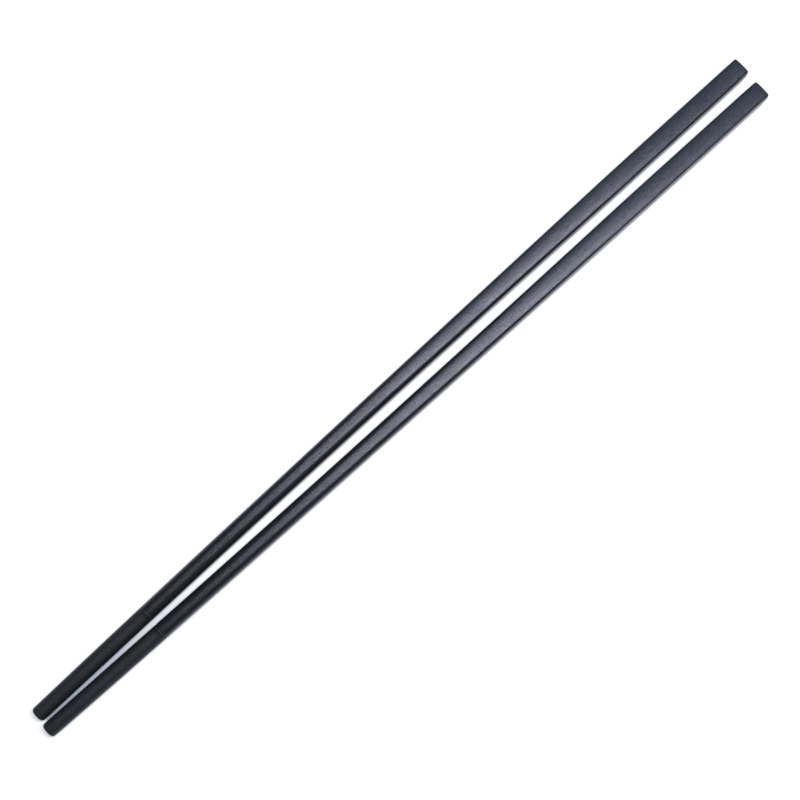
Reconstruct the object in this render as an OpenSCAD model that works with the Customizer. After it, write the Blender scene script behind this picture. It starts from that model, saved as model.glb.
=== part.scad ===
// A pair of long moulded chopsticks, lying side by side in a narrow V.
// Each one is a single solid: a square grip with rounded corners that
// tapers to an almost round tip, with a ring groove where the matt tip begins.
// Both have warped a little, so that their middles bow away from each other.
// +X runs along the pair towards the handle ends, and z = 0 is the table.

/* [Shaft] */
// Length of one chopstick from the handle end to the tip
stick_l = 330; // [300:1:400]
// Width across the flats at the handle end
end_w = 7.25; // [6.4:0.1:8]
// Width across the flats at the shoulder, where the grip is widest
grip_w = 7.4; // [6.6:0.05:8.5]
// Distance from the handle end to the shoulder, where the taper starts
taper_start = 65; // [50:1:120]
// How quickly the taper runs out towards the tip: 1 is a straight cone
taper_power = 1.75; // [1:0.05:2.5]

/* [Section] */
// Corner radius of the square section along the grip
corner_r = 0.7; // [0.65:0.05:1.4]
// Radius of the slight crown across each side
crown_r = 12; // [9:0.5:60]
// Share of each side, between its corners, that stays flat
flat_share = 0.15; // [0.05:0.05:0.8]
// Corner radius at the tip, as a share of the half width there
tip_roundness = 0.92; // [0.7:0.01:0.95]

/* [Tip] */
// Length of the matt tip zone, from the ring groove to the tip
tip_zone_l = 49; // [30:1:70]
// Width of the shaft where it meets the ring groove
neck_w = 5.8; // [5:0.05:6.2]
// Width at the tip
tip_w = 5.35; // [4:0.05:5.5]
// How softly the tip zone tapers: 1 is a straight cone
tip_curve = 1.4; // [1:0.05:2]
// Step down in radius from the shaft to the tip zone
tip_step = 0.04; // [0.02:0.01:0.15]
// Length of the ring groove along the shaft
ring_l = 0.9; // [0.6:0.1:2]
// Depth of the ring groove
ring_depth = 0.1; // [0.06:0.02:0.4]

/* [Ends] */
// Radius of the rounded edge round the handle end
end_edge_r = 0.6; // [0.3:0.05:0.6]
// Radius of the rounded edge round the tip
tip_edge_r = 0.9; // [0.4:0.05:1.2]

/* [Pair] */
// Distance between the two axes at the handle ends
handle_spacing = 10.95; // [10:0.1:30]
// Distance between the two axes at the tips
tip_spacing = 6.2; // [6:0.02:20]
// How far one chopstick lies ahead of the other
stagger = 0.7; // [0:0.1:5]
// How far the left chopstick bows outwards from a straight line
left_bow = 0.6; // [0:0.05:2]
// How far the right chopstick bows outwards from a straight line
right_bow = 0.75; // [0:0.05:2]
// Distance from the handle end at which the bow is widest
bow_place = 190; // [140:1:220]

/* [Hidden] */

// Strips of the mesh: across one flank of a side, and round one corner
flank_n = 2;
corner_n = 5;
// Stations of the mesh along each stretch of the stick
edge_n = 5;
grip_n = 9;
taper_n = 18;
groove_n = 6;
tip_n = 7;

ring_x = stick_l - tip_zone_l;
section_n = 4 * (2 * (flank_n + 1) + corner_n - 1);
splay = asin((handle_spacing - tip_spacing) / (2 * stick_l));
bow_power = ln(0.5) / ln(bow_place / stick_l);

// Half width of the stick at a distance x from the handle end
function half_w(x) =
    x < taper_start ? (end_w + (grip_w - end_w) * (1 - cos(180 * x / taper_start)) / 2) / 2
  : x <= ring_x ? (neck_w + (grip_w - neck_w) * pow(1 - taper_at(x), taper_power)) / 2
  : neck_w / 2 - tip_step
      - (neck_w / 2 - tip_step - tip_w / 2) * pow((x - ring_x) / tip_zone_l, tip_curve);

// 0 where the taper starts, 1 at the ring groove
function taper_at(x) = max(0, min(1, (x - taper_start) / (ring_x - taper_start)));

// Corner radius at a distance x: constant along the grip, almost the half width at the tip
function corner_at(x) =
    corner_r + (tip_roundness * half_w(x) - corner_r) * taper_at(x);

// Sideways offset of the axis at a distance x, for a bow of 1
function bow_at(x) = let (u = pow(x / stick_l, bow_power)) 4 * u * (1 - u);

// Stations round the edge of an end face, as [distance from the handle end, depth]
function edge_stations(at, way, r) =
    [for (i = [0 : edge_n - 1]) let (a = 90 * i / edge_n)
        [at + way * r * (1 - cos(a)), r * (1 - sin(a))]];

// Evenly spaced stations on the plain surface, the last one left out
function plain_stations(from, to, n) =
    [for (i = [0 : n - 1]) [from + (to - from) * i / n, 0]];

// Stations through the round-bottomed ring groove
function groove_stations() =
    [for (i = [0 : groove_n]) let (a = 180 * i / groove_n)
        [ring_x - ring_l / 2 * (1 + cos(a)), ring_depth * sin(a)]];

// Every station as [distance from the handle end, depth below the plain surface]
function stations() = concat(
    edge_stations(0, 1, end_edge_r),
    plain_stations(end_edge_r, taper_start, grip_n),
    plain_stations(taper_start, ring_x - ring_l, taper_n),
    groove_stations(),
    [for (i = [1 : tip_n]) [ring_x + (tip_zone_l - tip_edge_r) * i / tip_n, 0]],
    [for (s = [edge_n - 1 : -1 : 0]) edge_stations(stick_l, -1, tip_edge_r)[s]]);

// Rise per length of the axis on the table: the stick rests on its shoulder and
// on the first place past it that comes down to the table
function rest_slope() =
    min([for (s = stations()) if (s[0] > taper_start && s[1] == 0)
        (half_w(taper_start) - half_w(s[0])) / (s[0] - taper_start)]);

// Outline of the stick at one station: four crowned sides, each with a flat
// band in its middle, joined by corner arcs that are tangent to the crowns
function section(x, depth) =
    let (a = half_w(x), r = corner_at(x), f = flat_share * (a - r),
         p = crown_r - a, q = crown_r - r,
         k = (f - p + sqrt(pow(p - f, 2) - 2 * (p * p + f * f - q * q))) / 2,
         lean = atan2(k - f, k + p))
    [for (side = [0 : 3]) each [
        for (i = [0 : flank_n]) let (n = lean * (i / flank_n - 1))
            turned([-p + (crown_r - depth) * cos(n), -f + (crown_r - depth) * sin(n)], side),
        for (i = [0 : flank_n]) let (n = lean * i / flank_n)
            turned([-p + (crown_r - depth) * cos(n), f + (crown_r - depth) * sin(n)], side),
        for (i = [1 : corner_n - 1]) let (n = lean + (90 - 2 * lean) * i / corner_n)
            turned([k + (r - depth) * cos(n), k + (r - depth) * sin(n)], side)]];

// A point of the section turned to one of the four sides
function turned(p, side) =
    let (c = cos(90 * side), s = sin(90 * side)) [p[0] * c - p[1] * s, p[0] * s + p[1] * c];

// One chopstick along the X axis, its length centred on the origin, bowed towards +Y
module chopstick(bow) {
    rings = stations();
    last = (len(rings) - 1) * section_n;
    polyhedron(
        points = [for (s = rings) for (p = section(s[0], s[1]))
            [stick_l / 2 - s[0], p[0] + bow * bow_at(s[0]), p[1]]],
        faces = concat(
            [[for (i = [section_n - 1 : -1 : 0]) i]],
            [for (j = [0 : len(rings) - 2]) for (i = [0 : section_n - 1])
                let (a = j * section_n + i, b = j * section_n + (i + 1) % section_n)
                each [[a, b, b + section_n], [a, b + section_n, a + section_n]]],
            [[for (i = [0 : section_n - 1]) last + i]]),
        convexity = 4);
}

// A chopstick tilted so that it rests on the table, its shoulder touching at z = 0
module resting(bow) {
    tilt = atan(rest_slope());
    translate([0, 0, half_w(taper_start) * cos(tilt) - (stick_l / 2 - taper_start) * sin(tilt)])
        rotate([0, -tilt, 0])
            chopstick(bow);
}

// A chopstick laid on one side of the pair: 1 is towards +Y, -1 towards -Y
module laid(side, bow) {
    translate([side * stagger / 2, side * (handle_spacing + tip_spacing) / 4, 0])
        rotate([0, 0, side * splay])
            resting(side * bow);
}

module left_chopstick() {
    color("#31343d") laid(1, left_bow);
}

module right_chopstick() {
    color("#31343d") laid(-1, right_bow);
}

left_chopstick();
right_chopstick();
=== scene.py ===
"""A pair of long black moulded chopsticks, lying in a narrow V on a white table."""

import math

import bpy
from mathutils import Matrix, Vector


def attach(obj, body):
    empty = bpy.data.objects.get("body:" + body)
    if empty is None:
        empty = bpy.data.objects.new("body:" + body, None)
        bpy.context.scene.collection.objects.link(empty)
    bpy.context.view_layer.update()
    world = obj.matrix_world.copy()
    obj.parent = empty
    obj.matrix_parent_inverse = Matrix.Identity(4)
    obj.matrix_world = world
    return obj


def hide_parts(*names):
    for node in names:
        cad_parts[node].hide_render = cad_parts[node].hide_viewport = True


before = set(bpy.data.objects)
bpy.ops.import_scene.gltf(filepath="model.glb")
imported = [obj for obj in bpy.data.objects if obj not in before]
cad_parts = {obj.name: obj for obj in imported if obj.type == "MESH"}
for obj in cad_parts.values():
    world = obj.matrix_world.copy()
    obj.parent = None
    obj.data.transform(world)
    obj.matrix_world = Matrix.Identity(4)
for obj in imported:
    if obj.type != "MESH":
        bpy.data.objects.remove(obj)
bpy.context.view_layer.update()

MM = 0.001

# One chopstick, in millimetres, as in the construction
STICK_L = 330.0
END_W = 7.25
GRIP_W = 7.4
TAPER_START = 65.0
TAPER_POWER = 1.75
CORNER_R = 0.7
CROWN_R = 12.0
FLAT_SHARE = 0.15
TIP_ROUNDNESS = 0.92
TIP_ZONE_L = 49.0
NECK_W = 5.8
TIP_W = 5.35
TIP_CURVE = 1.4
TIP_STEP = 0.04
RING_L = 0.9
RING_DEPTH = 0.1
END_EDGE_R = 0.6
TIP_EDGE_R = 0.9
HANDLE_SPACING = 10.95
TIP_SPACING = 6.2
STAGGER = 0.7
LEFT_BOW = 0.6
RIGHT_BOW = 0.75
BOW_PLACE = 190.0

RING_X = STICK_L - TIP_ZONE_L
SPLAY = math.asin((HANDLE_SPACING - TIP_SPACING) / (2 * STICK_L))
BOW_POWER = math.log(0.5) / math.log(BOW_PLACE / STICK_L)
# Each stick rests on its shoulder and on the neck at the ring groove
REST_TILT = math.atan((GRIP_W - NECK_W) / 2 / (RING_X - TAPER_START))

# Fineness of the surface: strips across half a side's crown and round a corner, and
# stations along each stretch
FLAT_N = 4
FLANK_N = 6
CORNER_N = 10
EDGE_N = 10
END_N = 24
TAPER_N = 60
GROOVE_N = 14
TIP_N = 24
# Length of the short strips beside the ring groove that keep its edges crisp, in millimetres
CRISP_L = 0.05

# The camera: where it aims on the table, how far it stands and how it is turned
AIM = (-4.04 * MM, -0.07 * MM)
CAMERA_DISTANCE = 449.6 * MM
CAMERA_TILT = math.radians(8.2)
CAMERA_TURN = math.radians(-42.56)
SENSOR_MM = 36.0
FOCAL_PX = 1300.0
IMAGE_PX = 800.0

# The table: its side, how much light it adds to what the camera and reflections see,
# and how near a wall has to be for the table to count as lying in a narrow gap, where shade is
# painted on it
TABLE_SIDE = 6.0
TABLE_LIFT = 0.42
GAP_REACH = 2.8 * MM

# How far the change from satin to frosted reaches to each side of the ring's first edge
FROST_BLEND = 0.1


def half_width(x):
    """Half the width across the flats at a distance x from the handle end."""
    if x < TAPER_START:
        return (END_W + (GRIP_W - END_W) * (1 - math.cos(math.pi * x / TAPER_START)) / 2) / 2
    if x <= RING_X:
        return (NECK_W + (GRIP_W - NECK_W) * (1 - taper_at(x)) ** TAPER_POWER) / 2
    start = NECK_W / 2 - TIP_STEP
    along = min(1.0, (x - RING_X) / TIP_ZONE_L)
    return start - (start - TIP_W / 2) * along ** TIP_CURVE


def taper_at(x):
    """0 where the taper starts, 1 at the ring groove."""
    return max(0.0, min(1.0, (x - TAPER_START) / (RING_X - TAPER_START)))


def corner_radius(x):
    """Constant along the grip, almost the half width at the tip."""
    return CORNER_R + (TIP_ROUNDNESS * half_width(x) - CORNER_R) * taper_at(x)


def bow_at(x):
    """Sideways offset of the axis at a distance x, for a bow of 1."""
    u = (x / STICK_L) ** BOW_POWER
    return 4 * u * (1 - u)


def section(x, depth):
    """Outline across the stick at x, sunk by depth: crowned sides and tangent corners."""
    a, r = half_width(x), corner_radius(x)
    f = FLAT_SHARE * (a - r)
    p, q = CROWN_R - a, CROWN_R - r
    k = (f - p + math.sqrt((p - f) ** 2 - 2 * (p * p + f * f - q * q))) / 2
    lean = math.atan2(k - f, k + p)
    flank = CROWN_R - depth
    points = []
    for i in range(FLANK_N):
        n = lean * (i / FLANK_N - 1)
        points.append((-p + flank * math.cos(n), -f + flank * math.sin(n)))
    for i in range(FLAT_N):
        points.append((flank - p, f * (2 * i / FLAT_N - 1)))
    for i in range(FLANK_N + 1):
        n = lean * i / FLANK_N
        points.append((-p + flank * math.cos(n), f + flank * math.sin(n)))
    for i in range(1, CORNER_N):
        n = lean + (math.pi / 2 - 2 * lean) * i / CORNER_N
        points.append((k + (r - depth) * math.cos(n), k + (r - depth) * math.sin(n)))
    outline = []
    for quarter in range(4):
        c, s = round(math.cos(quarter * math.pi / 2)), round(math.sin(quarter * math.pi / 2))
        outline += [(y * c - z * s, y * s + z * c) for y, z in points]
    return outline


def edge_stations(at, way, radius):
    """Stations round the edge of an end face, as (x, depth)."""
    angles = [math.pi / 2 * i / EDGE_N for i in range(EDGE_N)]
    return [(at + way * radius * (1 - math.cos(a)), radius * (1 - math.sin(a))) for a in angles]


def plain_stations(start, stop, count):
    """Even stations on the plain surface, the last one left out."""
    return [(start + (stop - start) * i / count, 0.0) for i in range(count)]


def groove_stations():
    """Stations through the round-bottomed ring groove."""
    angles = [math.pi * i / GROOVE_N for i in range(GROOVE_N + 1)]
    return [(RING_X - RING_L / 2 * (1 + math.cos(a)), RING_DEPTH * math.sin(a)) for a in angles]


def stations():
    """Every station from the handle end to the tip."""
    tip_l = TIP_ZONE_L - TIP_EDGE_R
    return (edge_stations(0.0, 1, END_EDGE_R)
            + plain_stations(END_EDGE_R, TAPER_START, END_N)
            + plain_stations(TAPER_START, RING_X - RING_L - CRISP_L, TAPER_N)
            + [(RING_X - RING_L - CRISP_L, 0.0)]
            + groove_stations()
            + [(RING_X + CRISP_L, 0.0)]
            + [(RING_X + tip_l * i / TIP_N, 0.0) for i in range(1, TIP_N + 1)]
            + edge_stations(STICK_L, -1, TIP_EDGE_R)[::-1])


def resting_place(side):
    """Lays a chopstick down: tilted onto the table, turned and moved to its side of the pair."""
    lift = (GRIP_W / 2 * math.cos(REST_TILT)
            - (STICK_L / 2 - TAPER_START) * math.sin(REST_TILT))
    move = Matrix.Translation((side * STAGGER / 2, side * (HANDLE_SPACING + TIP_SPACING) / 4, lift))
    return move @ Matrix.Rotation(side * SPLAY, 4, "Z") @ Matrix.Rotation(-REST_TILT, 4, "Y")


def chopstick_mesh(name, side, bow):
    """The moulded surface of one chopstick, laid on its side of the pair."""
    rings = stations()
    verts, along = [], []
    place = resting_place(side)
    for x, depth in rings:
        for y, z in section(x, depth):
            verts.append(place @ Vector((STICK_L / 2 - x, y + side * bow * bow_at(x), z)) * MM)
            along.append(x)
    n = len(verts) // len(rings)
    faces = [tuple(range(n))]
    for j in range(len(rings) - 1):
        for i in range(n):
            a, b = j * n + i, j * n + (i + 1) % n
            faces.append((a, a + n, b + n, b))
    faces.append(tuple(range(len(verts) - 1, len(verts) - n - 1, -1)))
    mesh = bpy.data.meshes.new(name)
    mesh.from_pydata(verts, [], faces)
    distance = mesh.attributes.new("from_handle_mm", "FLOAT", "POINT")
    distance.data.foreach_set("value", along)
    mesh.polygons.foreach_set("use_smooth", [True] * len(mesh.polygons))
    mesh.update()
    return mesh


def set_inputs(node, **values):
    """Sets a node's sockets by name, with underscores for spaces."""
    for key, value in values.items():
        node.inputs[key.replace("_", " ")].default_value = value


def mixed_colour(tree, factor, a, b):
    """Blends two colours, each an RGB triple or another node's output."""
    mix = tree.nodes.new("ShaderNodeMix")
    mix.data_type = "RGBA"
    tree.links.new(factor, mix.inputs["Factor"])
    colours = [item for item in mix.inputs if item.type == "RGBA"]
    for item, colour in zip(colours, (a, b)):
        if isinstance(colour, tuple):
            item.default_value = (*colour, 1)
        else:
            tree.links.new(colour, item)
    return next(item for item in mix.outputs if item.type == "RGBA")


def mapped(tree, value, start, stop, low, high):
    """Turns the range from start to stop into the range from low to high."""
    node = tree.nodes.new("ShaderNodeMapRange")
    set_inputs(node, From_Min=start, From_Max=stop, To_Min=low, To_Max=high)
    tree.links.new(value, node.inputs["Value"])
    return node.outputs["Result"]


def worked_out(tree, operation, first, second):
    """Joins an output with another output or a number by a sum or a product."""
    node = tree.nodes.new("ShaderNodeMath")
    node.operation = operation
    tree.links.new(first, node.inputs[0])
    if isinstance(second, float):
        node.inputs[1].default_value = second
    else:
        tree.links.new(second, node.inputs[1])
    return node.outputs["Value"]


def noise(tree, place, scale, detail, roughness):
    """A noise texture of the given scale at a place."""
    node = tree.nodes.new("ShaderNodeTexNoise")
    set_inputs(node, Scale=scale, Detail=detail, Roughness=roughness)
    tree.links.new(place, node.inputs["Vector"])
    return node.outputs["Fac"]


def new_material(name):
    """An empty material with its node tree and its shader."""
    mat = bpy.data.materials.new(name)
    mat.use_nodes = True
    return mat, mat.node_tree, mat.node_tree.nodes["Principled BSDF"]


def polymer_material():
    """Black glass-filled polymer: satin and finely grained, frosted in the tip zone."""
    mat, tree, shader = new_material("black_polymer")
    nodes, links = tree.nodes, tree.links
    set_inputs(shader, IOR=1.58, Specular_Tint=(0.82, 0.845, 1.0, 1))

    # Grain and mottle run a little further along the stick than across it
    stretch = nodes.new("ShaderNodeMapping")
    set_inputs(stretch, Scale=(0.8, 1.0, 1.0))
    links.new(nodes.new("ShaderNodeTexCoord").outputs["Object"], stretch.inputs["Vector"])
    grain = noise(tree, stretch.outputs["Vector"], 3300.0, 2.0, 0.6)
    mottle = noise(tree, stretch.outputs["Vector"], 180.0, 4.0, 0.55)

    # 0 on the satin shaft, 1 in the ring groove and the frosted tip zone
    distance = nodes.new("ShaderNodeAttribute")
    distance.attribute_name = "from_handle_mm"
    frost_at = RING_X - RING_L
    frosted = mapped(tree, distance.outputs["Fac"],
                     frost_at - FROST_BLEND, frost_at + FROST_BLEND, 0.0, 1.0)

    tint = mixed_colour(tree, mottle, (0.0105, 0.011, 0.0145), (0.0155, 0.0162, 0.021))
    body = mixed_colour(tree, frosted, tint, (0.0118, 0.0113, 0.0118))
    links.new(body, shader.inputs["Base Color"])

    rough = nodes.new("ShaderNodeMix")
    rough.inputs["B"].default_value = 0.6
    links.new(frosted, rough.inputs["Factor"])
    links.new(mapped(tree, mottle, 0.3, 0.7, 0.30, 0.36), rough.inputs["A"])
    links.new(rough.outputs["Result"], shader.inputs["Roughness"])

    links.new(mapped(tree, grain, 0.25, 0.75, 0.1, 0.88), shader.inputs["Specular IOR Level"])
    bump = nodes.new("ShaderNodeBump")
    set_inputs(bump, Strength=0.9, Distance=0.06 * MM)
    links.new(grain, bump.inputs["Height"])
    links.new(bump.outputs["Normal"], shader.inputs["Normal"])
    return mat


def add_chopstick(node, side, bow, material):
    """The finely meshed chopstick that stands for one CAD node."""
    piece = bpy.data.objects.new(node + "_surface", chopstick_mesh(node + "_surface", side, bow))
    bpy.context.scene.collection.objects.link(piece)
    piece.data.materials.append(material)
    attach(piece, "root")
    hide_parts(node)


def table_material():
    """White, with painted blue-grey shade where the table lies in a narrow gap."""
    mat, tree, shader = new_material("white_table")
    nodes, links = tree.nodes, tree.links
    shader.inputs["Roughness"].default_value = 0.9
    shader.inputs["Specular IOR Level"].default_value = 0.0

    # 0 in a narrow gap, where shade is painted on the table, 1 where the table lies open
    corner = nodes.new("ShaderNodeAmbientOcclusion")
    corner.inputs["Distance"].default_value = GAP_REACH
    corner.samples = 16
    unshaded_share = mapped(tree, corner.outputs["AO"], 0.42, 0.58, 0.0, 1.0)
    # Painted shade: the table's colour turns a darker blue-grey in narrow gaps between the sticks
    shade = mixed_colour(tree, unshaded_share, (0.72, 0.77, 0.92), (0.93, 0.93, 0.935))
    links.new(shade, shader.inputs["Base Color"])

    # The open table reads white to the camera and in reflections, and keeps its shadow. In narrow
    # gaps the lift is withheld, which paints shade there
    ray = nodes.new("ShaderNodeLightPath").outputs
    mirrored = worked_out(tree, "ADD", ray["Is Glossy Ray"], ray["Is Transmission Ray"])
    seen = worked_out(tree, "ADD", ray["Is Camera Ray"], mirrored)
    scaled = worked_out(tree, "MULTIPLY", seen, TABLE_LIFT)
    strength = worked_out(tree, "MULTIPLY", scaled, unshaded_share)
    lift = nodes.new("ShaderNodeEmission")
    lift.inputs["Color"].default_value = (1, 1, 1, 1)
    links.new(strength, lift.inputs["Strength"])
    both = nodes.new("ShaderNodeAddShader")
    links.new(shader.outputs["BSDF"], both.inputs[0])
    links.new(lift.outputs["Emission"], both.inputs[1])
    links.new(both.outputs["Shader"], nodes["Material Output"].inputs["Surface"])
    return mat


def add_table():
    """A plain white table that the pair lies on."""
    h = TABLE_SIDE / 2
    mesh = bpy.data.meshes.new("table")
    mesh.from_pydata([(-h, -h, 0), (h, -h, 0), (h, h, 0), (-h, h, 0)], [], [(0, 1, 2, 3)])
    table = bpy.data.objects.new("table", mesh)
    bpy.context.scene.collection.objects.link(table)
    table.data.materials.append(table_material())


def picture_point(right, up, height):
    """A place given by how far it lies to the right of and up the picture from the aim."""
    turn_x = (math.cos(CAMERA_TURN), math.sin(CAMERA_TURN))
    turn_y = (-math.sin(CAMERA_TURN), math.cos(CAMERA_TURN))
    return Vector((AIM[0] + right * turn_x[0] + up * turn_y[0],
                   AIM[1] + right * turn_x[1] + up * turn_y[1], height))


def add_lamp(name, position, width, depth, watts, colour=(1, 1, 1)):
    """A soft rectangular lamp facing the middle of the table, its width along the picture."""
    data = bpy.data.lights.new(name, "AREA")
    data.shape = "RECTANGLE"
    data.size, data.size_y = width, depth
    data.energy = watts
    data.color = colour
    lamp = bpy.data.objects.new(name, data)
    lamp.location = position
    away = position - picture_point(0, 0, 0)
    along = Vector((math.cos(CAMERA_TURN), math.sin(CAMERA_TURN), 0))
    across = away.cross(along)
    along = across.cross(away)
    lamp.rotation_euler = Matrix((along.normalized(), across.normalized(),
                                  away.normalized())).transposed().to_euler()
    bpy.context.scene.collection.objects.link(lamp)


def add_world():
    """A dim, even, slightly blue room light."""
    world = bpy.data.worlds.new("room")
    world.use_nodes = True
    set_inputs(world.node_tree.nodes["Background"], Color=(0.78, 0.86, 1, 1), Strength=0.12)
    bpy.context.scene.world = world


def add_camera():
    """The photograph's view: from above, leaning back towards the foot of the picture."""
    data = bpy.data.cameras.new("camera")
    data.sensor_width = SENSOR_MM
    data.lens = FOCAL_PX / IMAGE_PX * SENSOR_MM
    data.clip_start = 0.01
    camera = bpy.data.objects.new("camera", data)
    back = CAMERA_DISTANCE * math.sin(CAMERA_TILT)
    camera.location = (AIM[0] + back * math.sin(CAMERA_TURN),
                       AIM[1] - back * math.cos(CAMERA_TURN),
                       CAMERA_DISTANCE * math.cos(CAMERA_TILT))
    camera.rotation_euler = (CAMERA_TILT, 0, CAMERA_TURN)
    bpy.context.scene.collection.objects.link(camera)
    bpy.context.scene.camera = camera


polymer = polymer_material()
add_chopstick("left_chopstick", 1, LEFT_BOW, polymer)
add_chopstick("right_chopstick", -1, RIGHT_BOW, polymer)
add_table()
add_world()
add_lamp("overhead_strip", picture_point(right=0.16, up=0.054, height=0.75),
         width=0.42, depth=0.08, watts=3.6)
add_lamp("broad_fill", picture_point(right=0.35, up=0.45, height=0.9),
         width=1.2, depth=0.9, watts=3.1, colour=(0.6, 0.78, 1))
add_camera()
bpy.context.scene.view_settings.view_transform = "Standard"
